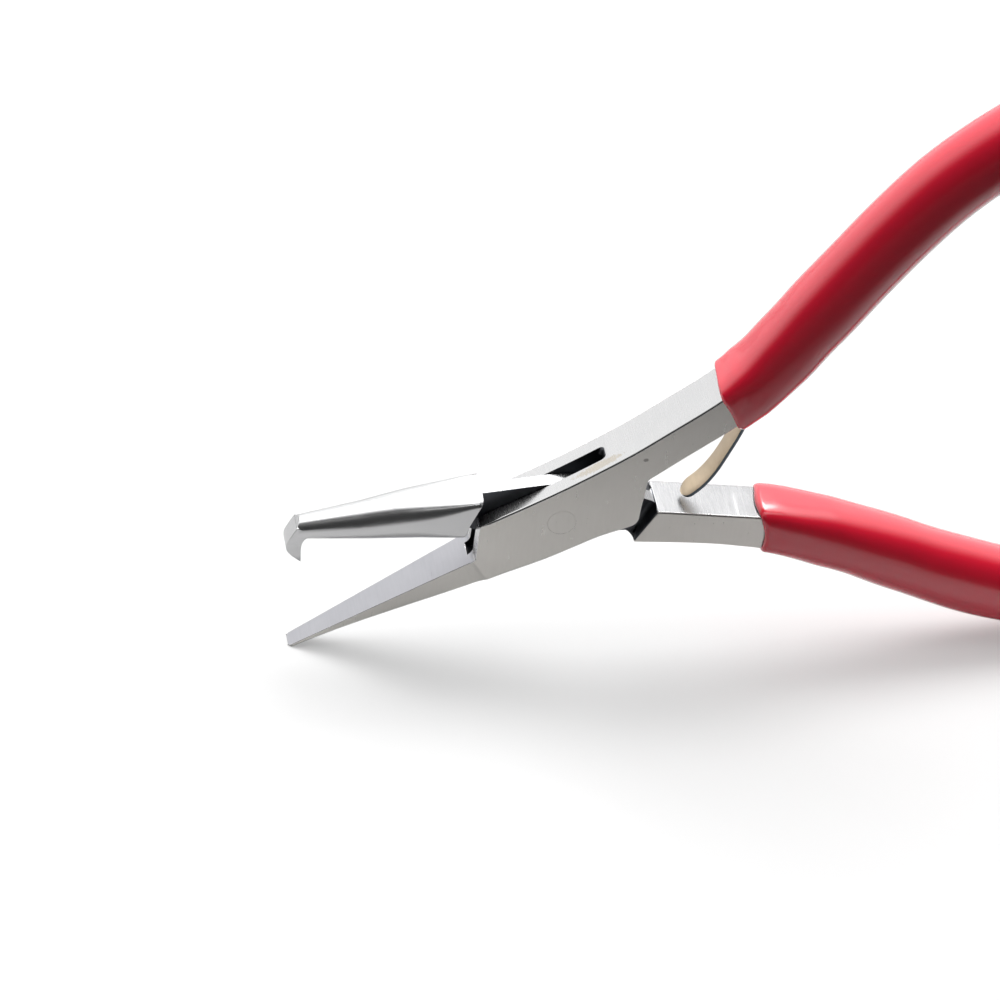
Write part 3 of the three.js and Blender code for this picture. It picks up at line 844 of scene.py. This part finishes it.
def build_grip(name, path, dip, node, body, edge, half_stops, leaf_room):
    """A dipped sleeve: outer skin with a rounded lip, closed round the end of the tang.

    edge gives how far the lip runs back, in mm, by angle round the section:
    0 is +Y, 90 the upper side of the arm and 270 the under side.
    """
    length = path.length
    span = length - dip
    phis = [2 * math.pi * j / COLUMNS for j in range(COLUMNS)]
    knots = np.array([a for a, _ in edge] + [edge[0][0] + 360], float)
    values = np.array([b for _, b in edge] + [edge[0][1]], float)

    def lip(phi):
        d = math.degrees(phi) % 360
        i = int(np.searchsorted(knots, d, side="right")) - 1
        i = max(0, min(i, len(knots) - 2))
        t = (d - knots[i]) / (knots[i + 1] - knots[i])
        m = len(knots) - 1
        p0, p1, p2, p3 = values[(i - 1) % m], values[i], values[i + 1], values[(i + 2) % m]
        return 0.5 * (2 * p1 + (p2 - p0) * t + (2 * p0 - 5 * p1 + 4 * p2 - p3) * t * t + (3 * p1 - p0 - 3 * p2 + p3) * t**3)

    def bare(s, phi, gap):
        """The tang's own section, with the leaf's foot under it where there is one."""
        h = tang_half((dip + s) / length)
        r = squircle(HALF_T + gap, h + gap, 26, phi)
        if leaf_room:
            # room under the tang for the leaf, its rivet and its bend
            under = -math.sin(phi)
            half = abs(r * math.cos(phi))
            if under > 0 and half < 2.9:
                grow = 0.78 * smoothstep((2.9 - half) / 0.9) * (1 - smoothstep((s - 15.5) / 2.5))
                r += grow
        return r

    def outer(s, phi):
        u = s / span
        w = ramp(u, [(0, 4.45), (0.06, 4.7), (0.3, 4.8), (1, 4.8)])
        n = ramp(u, [(0, 3.9), (0.05, 3.2), (0.14, 2.6), (0.24, 2.3), (0.4, 2.1), (1, 2.05)])
        h = ramp(u, half_stops)
        r = squircle(w, h, n, phi)
        if leaf_room:
            under = -math.sin(phi)
            half = abs(r * math.cos(phi))
            if under > 0 and half < 3.4:
                r += 0.42 * smoothstep((3.4 - half) / 1.6) * (1 - smoothstep(s / 7.0))
        return r

    def point(s, r, phi):
        c, n = path.at(dip + s), path.across(dip + s)
        y, v = r * math.cos(phi), r * math.sin(phi)
        return (c[0] + n[0] * v, y, c[1] + n[1] * v)

    def slide(s, phi):
        return s + lip(phi) * (1 - smoothstep(s / 9.0))

    rings = []
    LIP = 0.85
    # lip, from the steel out to the skin
    for k in range(0, 9):
        a = k / 8 * math.pi / 2
        s = LIP * (1 - math.cos(a))
        f = math.sin(a) ** 0.9
        rings.append([point(slide(s, p), bare(s, p, 0.015) * (1 - f) + outer(LIP, p) * f, p) for p in phis])
    stations = list(np.linspace(LIP, 10, 16)[1:]) + list(np.linspace(10, span, 60)[1:])
    for s in stations:
        rings.append([point(slide(s, p), outer(s, p), p) for p in phis])
    # rounded end
    for k in range(1, 12):
        a = k / 12 * math.pi / 2
        s = span + 4.2 * math.sin(a)
        f = math.cos(a)
        rings.append([point(s, outer(span, p) * f, p) for p in phis])
    outer_count = len(rings)
    # inner wall, back from the end of the tang to the lip
    inner = []
    for s in np.linspace(1.2, span + 0.0, 50):
        inner.append([point(slide(s, p), bare(s, p, 0.05), p) for p in phis])
    tail = []
    for k in range(1, 6):
        a = k / 6 * math.pi / 2
        tail.append([point(span + 2.2 * math.sin(a), bare(span, p, 0.05) * math.cos(a), p) for p in phis])
    inner_rings = inner + tail
    verts, faces = [], []
    for r in rings:
        verts += r
    n = COLUMNS
    for i in range(outer_count - 1):
        a, b = i * n, (i + 1) * n
        faces += [[a + j, b + j, b + (j + 1) % n, a + (j + 1) % n] for j in range(n)]
    verts.append(point(span + 4.2, 0.0, 0.0))
    pole, last = len(verts) - 1, (outer_count - 1) * n
    faces += [[last + j, pole, last + (j + 1) % n] for j in range(n)]
    base = len(verts)
    for r in inner_rings:
        verts += r
    faces += [[(j + 1) % n, base + (j + 1) % n, base + j, j] for j in range(n)]
    for i in range(len(inner_rings) - 1):
        a, b = base + i * n, base + (i + 1) * n
        faces += [[a + j, a + (j + 1) % n, b + (j + 1) % n, b + j] for j in range(n)]
    verts.append(point(span + 2.2, 0.0, 0.0))
    pole2, last2 = len(verts) - 1, base + (len(inner_rings) - 1) * n
    faces += [[last2 + j, last2 + (j + 1) % n, pole2] for j in range(n)]
    grip = make(name, verts, faces)
    for m in (vinyl, vinyl_lip):
        grip.data.materials.append(m)
    for p in grip.data.polygons:
        p.use_smooth = True
        p.material_index = 1 if p.index < 1 * n else 0
    for v in grip.data.vertices:
        v.co = place(*v.co)
    grip.data.update()
    sub = grip.modifiers.new("subdivision", "SUBSURF")
    sub.levels = sub.render_levels = 1
    dg = bpy.context.evaluated_depsgraph_get()
    grip.data = bpy.data.meshes.new_from_object(grip.evaluated_get(dg))
    grip.modifiers.clear()
    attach(grip, body)
    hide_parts(node)
    return grip


box_half = build_box_half()
rivet = build_rivet()
tongue_half = build_tongue_half()
leaf = build_leaf()
upper_grip = build_grip(
    "upper_grip_dipped", UPPER, UPPER_DIP, "upper_grip", "box_side",
    [(0, 1.5), (45, 1.9), (90, 1.75), (135, 1.35), (180, 0.85), (225, 0.1), (270, 0.1), (315, 0.8)], UPPER_HALF, True,
)
lower_grip = build_grip(
    "lower_grip_dipped", LOWER, LOWER_DIP, "lower_grip", "tongue_side",
    [(0, 0.5), (45, -0.3), (90, -0.75), (135, -0.6), (180, 0.75), (225, 1.0), (270, 0.9), (315, 0.9)], LOWER_HALF, False,
)
for node, finish in (("spring_rivet", bright_edge),):
    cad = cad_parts[node]
    cad.data.materials.clear()
    cad.data.materials.append(finish)

# ---- floor, light and camera -------------------------------------------------
def build_stage():
    """A pale disc under the object, white to the camera and fading off in front to the steel."""
    m, nt, bsdf = material("floor_white")
    ray = nt.nodes.new("ShaderNodeLightPath")
    where = nt.nodes.new("ShaderNodeTexCoord")
    split = nt.nodes.new("ShaderNodeSeparateXYZ")
    nt.links.new(where.outputs["Object"], split.inputs[0])
    near = nt.nodes.new("ShaderNodeMapRange")
    near.interpolation_type = "SMOOTHSTEP"
    nt.links.new(split.outputs["Y"], near.inputs["Value"])
    near.inputs["From Min"].default_value = FLOOR_FADE[0]
    near.inputs["From Max"].default_value = FLOOR_FADE[1]
    far_tone, near_tone = FLOOR_SEEN_BY_STEEL
    near.inputs["To Min"].default_value = far_tone
    near.inputs["To Max"].default_value = near_tone
    pale = mix(nt, ray.outputs["Is Camera Ray"], near.outputs["Result"], (FLOOR_TONE,) * 3)
    nt.links.new(pale, bsdf.inputs["Base Color"])
    bsdf.inputs["Roughness"].default_value = 0.9
    bsdf.inputs["Specular IOR Level"].default_value = 0.0
    glow = nt.nodes.new("ShaderNodeEmission")
    nt.links.new(add(nt, ray.outputs["Is Camera Ray"], FLOOR_LIFT, "MULTIPLY"), glow.inputs["Strength"])
    both = nt.nodes.new("ShaderNodeAddShader")
    out = [n for n in nt.nodes if n.type == "OUTPUT_MATERIAL"][0]
    nt.links.new(bsdf.outputs[0], both.inputs[0])
    nt.links.new(glow.outputs[0], both.inputs[1])
    nt.links.new(both.outputs[0], out.inputs[0])
    n = 96
    verts = [(0, 0, 0)] + [(1.6 * math.cos(2 * math.pi * k / n), 1.6 * math.sin(2 * math.pi * k / n), 0) for k in range(n)]
    floor = make("floor_disc", verts, [[0, 1 + k, 1 + (k + 1) % n] for k in range(n)])
    floor.data.materials.append(m)
    return floor


FLOOR_LIFT = 0.31
FLOOR_TONE = 0.42
FLOOR_FADE = (-0.095, -0.012)
FLOOR_SEEN_BY_STEEL = (0.05, 0.47)
build_stage()

world = bpy.data.worlds.new("studio")
bpy.context.scene.world = world
world.use_nodes = True
wt = world.node_tree
wt.nodes.clear()
w_out = wt.nodes.new("ShaderNodeOutputWorld")
w_bg = wt.nodes.new("ShaderNodeBackground")
w_pale = wt.nodes.new("ShaderNodeBackground")
w_pale.inputs["Color"].default_value = (1, 1, 1, 1)
w_pale.inputs["Strength"].default_value = 1.0
w_mix = wt.nodes.new("ShaderNodeMixShader")
w_ray = wt.nodes.new("ShaderNodeLightPath")
w_tc = wt.nodes.new("ShaderNodeTexCoord")
wt.links.new(w_ray.outputs["Is Camera Ray"], w_mix.inputs[0])
wt.links.new(w_bg.outputs[0], w_mix.inputs[1])
wt.links.new(w_pale.outputs[0], w_mix.inputs[2])
wt.links.new(w_mix.outputs[0], w_out.inputs[0])


def w_math(op, a, b=None):
    m = wt.nodes.new("ShaderNodeMath")
    m.operation = op
    for socket, v in zip(m.inputs, (a, b)):
        if v is None:
            continue
        if hasattr(v, "links"):
            wt.links.new(v, socket)
        else:
            socket.default_value = v
    return m.outputs[0]


# A studio by direction: a soft box high up behind, a pale ceiling and wall, and
# an unlit room on the near side.
def w_dot(direction):
    d = wt.nodes.new("ShaderNodeVectorMath")
    d.operation = "DOT_PRODUCT"
    wt.links.new(w_tc.outputs["Generated"], d.inputs[0])
    d.inputs[1].default_value = tuple(Vector(direction).normalized())
    return d.outputs["Value"]


def w_smooth(value, lo, hi, a, b):
    r = wt.nodes.new("ShaderNodeMapRange")
    r.interpolation_type = "SMOOTHSTEP"
    r.inputs["From Min"].default_value = lo
    r.inputs["From Max"].default_value = hi
    r.inputs["To Min"].default_value = a
    r.inputs["To Max"].default_value = b
    wt.links.new(value, r.inputs["Value"])
    return r.outputs["Result"]


BOX_LIGHT = 9.0
BOX_AT = (0.12, 0.50, 0.86)
soft_box = w_smooth(w_dot(BOX_AT), math.cos(math.radians(19.2)), math.cos(math.radians(12)), 0.0, BOX_LIGHT)
ceiling = w_smooth(w_dot((0, 0.25, 0.97)), math.cos(math.radians(43)), math.cos(math.radians(28)), 0.0, 1.5)
wall = w_smooth(w_dot((-0.15, 1.0, 0.25)), -0.25, 0.45, 0.05, 1.3)
total_light = w_math("ADD", soft_box, w_math("ADD", ceiling, wall))
wt.links.new(total_light, w_bg.inputs["Strength"])
w_bg.inputs["Color"].default_value = (1.0, 1.0, 1.0, 1)


def area(name, location, target, size, power, color=(1, 1, 1)):
    data = bpy.data.lights.new(name, "AREA")
    data.shape = "RECTANGLE"
    data.size, data.size_y = size
    data.energy = power
    data.color = color
    obj = bpy.data.objects.new(name, data)
    obj.location = location
    obj.rotation_euler = (Vector(target) - Vector(location)).to_track_quat("-Z", "Y").to_euler()
    COLLECTION.objects.link(obj)
    return obj


area("near_strip", (-0.10, -0.42, 0.52), (0.0, 0, 0.03), (0.05, 0.02), 0.10)

# the camera, from its own axes in the drawing frame
RIGHT = turned((0.98018, -0.15482, 0.12360))
UP = turned((0.0, 0.62389, 0.78150))
FORWARD = turned((0.19811, 0.76602, -0.61153))
FORWARD.normalize()
RIGHT = (RIGHT - FORWARD * RIGHT.dot(FORWARD)).normalized()
UP = RIGHT.cross(FORWARD).normalized()
origin = place(0, 0, 0)
camera_at = origin - FORWARD * 0.700 - RIGHT * 0.00769 + UP * 0.00039
cam = bpy.data.cameras.new("camera")
cam.lens = 181.44
cam.sensor_width = 36.0
cam.clip_start, cam.clip_end = 0.01, 20
camera = bpy.data.objects.new("camera", cam)
COLLECTION.objects.link(camera)
rot = Matrix((RIGHT, UP, -FORWARD)).transposed().to_4x4()
camera.matrix_world = Matrix.Translation(camera_at) @ rot
bpy.context.scene.camera = camera
bpy.context.scene.view_settings.view_transform = "Standard"
bpy.context.scene.view_settings.look = "None"
